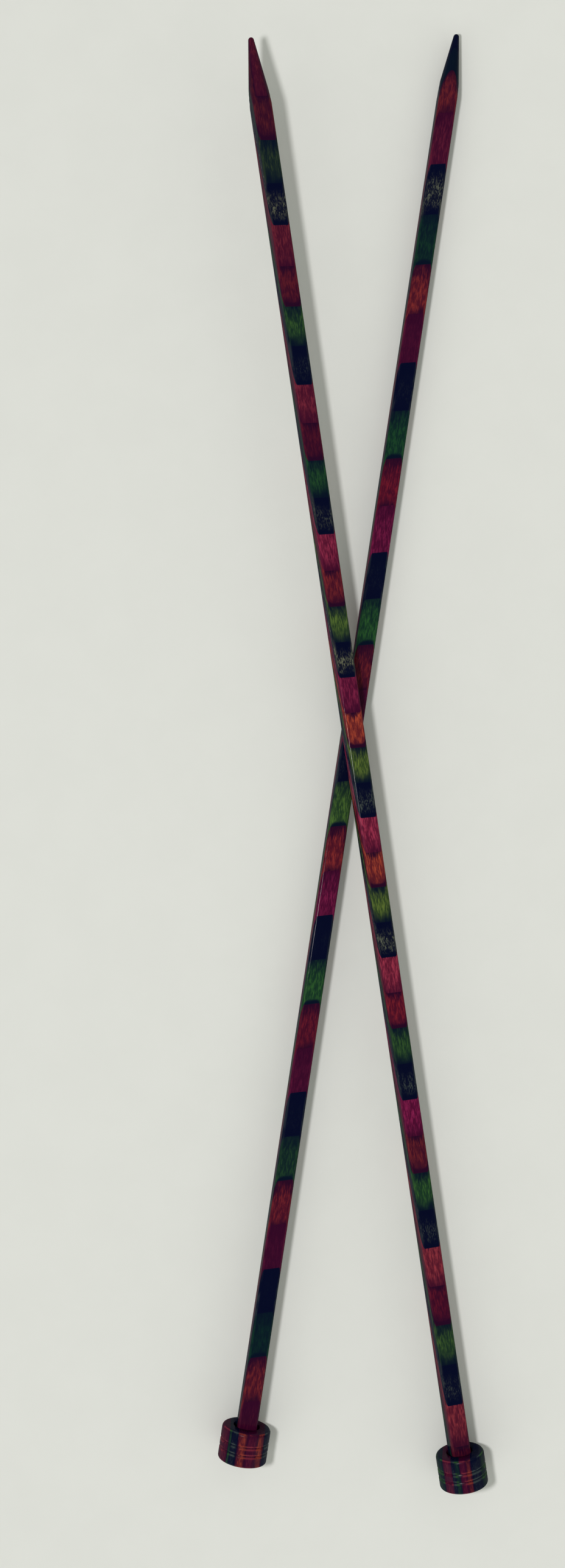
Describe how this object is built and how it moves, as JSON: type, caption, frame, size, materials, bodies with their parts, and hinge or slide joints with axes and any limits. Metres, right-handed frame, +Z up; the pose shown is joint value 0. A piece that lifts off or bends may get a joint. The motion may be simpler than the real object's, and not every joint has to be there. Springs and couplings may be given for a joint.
{
  "type": "pair of straight knitting needles",
  "caption": "Pair of straight square-shaft wooden knitting needles with turned grooved caps, laid crossed, all cut from bonded veneers of dyed birch.",
  "frame": {"origin": "middle of the pair's underside, on the table that the needles lie on", "axes": "+Z up from the table, +Y along the pair towards the tips, halfway between the two needles, +X towards the under needle's tip"},
  "size_m": [0.0648, 0.354, 0.0141],
  "materials": {
    "navy_birch": "navy-dyed birch veneer under gloss lacquer",
    "green_birch": "green-dyed birch veneer under gloss lacquer",
    "orange_birch": "orange-red-dyed birch veneer under gloss lacquer",
    "magenta_birch": "magenta-dyed birch veneer under gloss lacquer"
  },
  "bodies": {
    "under_needle": {"under_shaft_navy_veneers": "navy_birch", "under_shaft_green_veneers": "green_birch", "under_shaft_orange_veneers": "orange_birch", "under_shaft_magenta_veneers": "magenta_birch", "under_cap_navy_veneers": "navy_birch", "under_cap_green_veneers": "green_birch", "under_cap_orange_veneers": "orange_birch", "under_cap_magenta_veneers": "magenta_birch"},
    "over_needle": {"over_shaft_navy_veneers": "navy_birch", "over_shaft_green_veneers": "green_birch", "over_shaft_orange_veneers": "orange_birch", "over_shaft_magenta_veneers": "magenta_birch", "over_cap_navy_veneers": "navy_birch", "over_cap_green_veneers": "green_birch", "over_cap_orange_veneers": "orange_birch", "over_cap_magenta_veneers": "magenta_birch"}
  },
  "joints": [
    {"name": "over_needle_lift", "type": "slide", "parent": "under_needle", "child": "over_needle", "axis": [0, 0, 1], "range_m": [0, 0.06]}
  ]
}
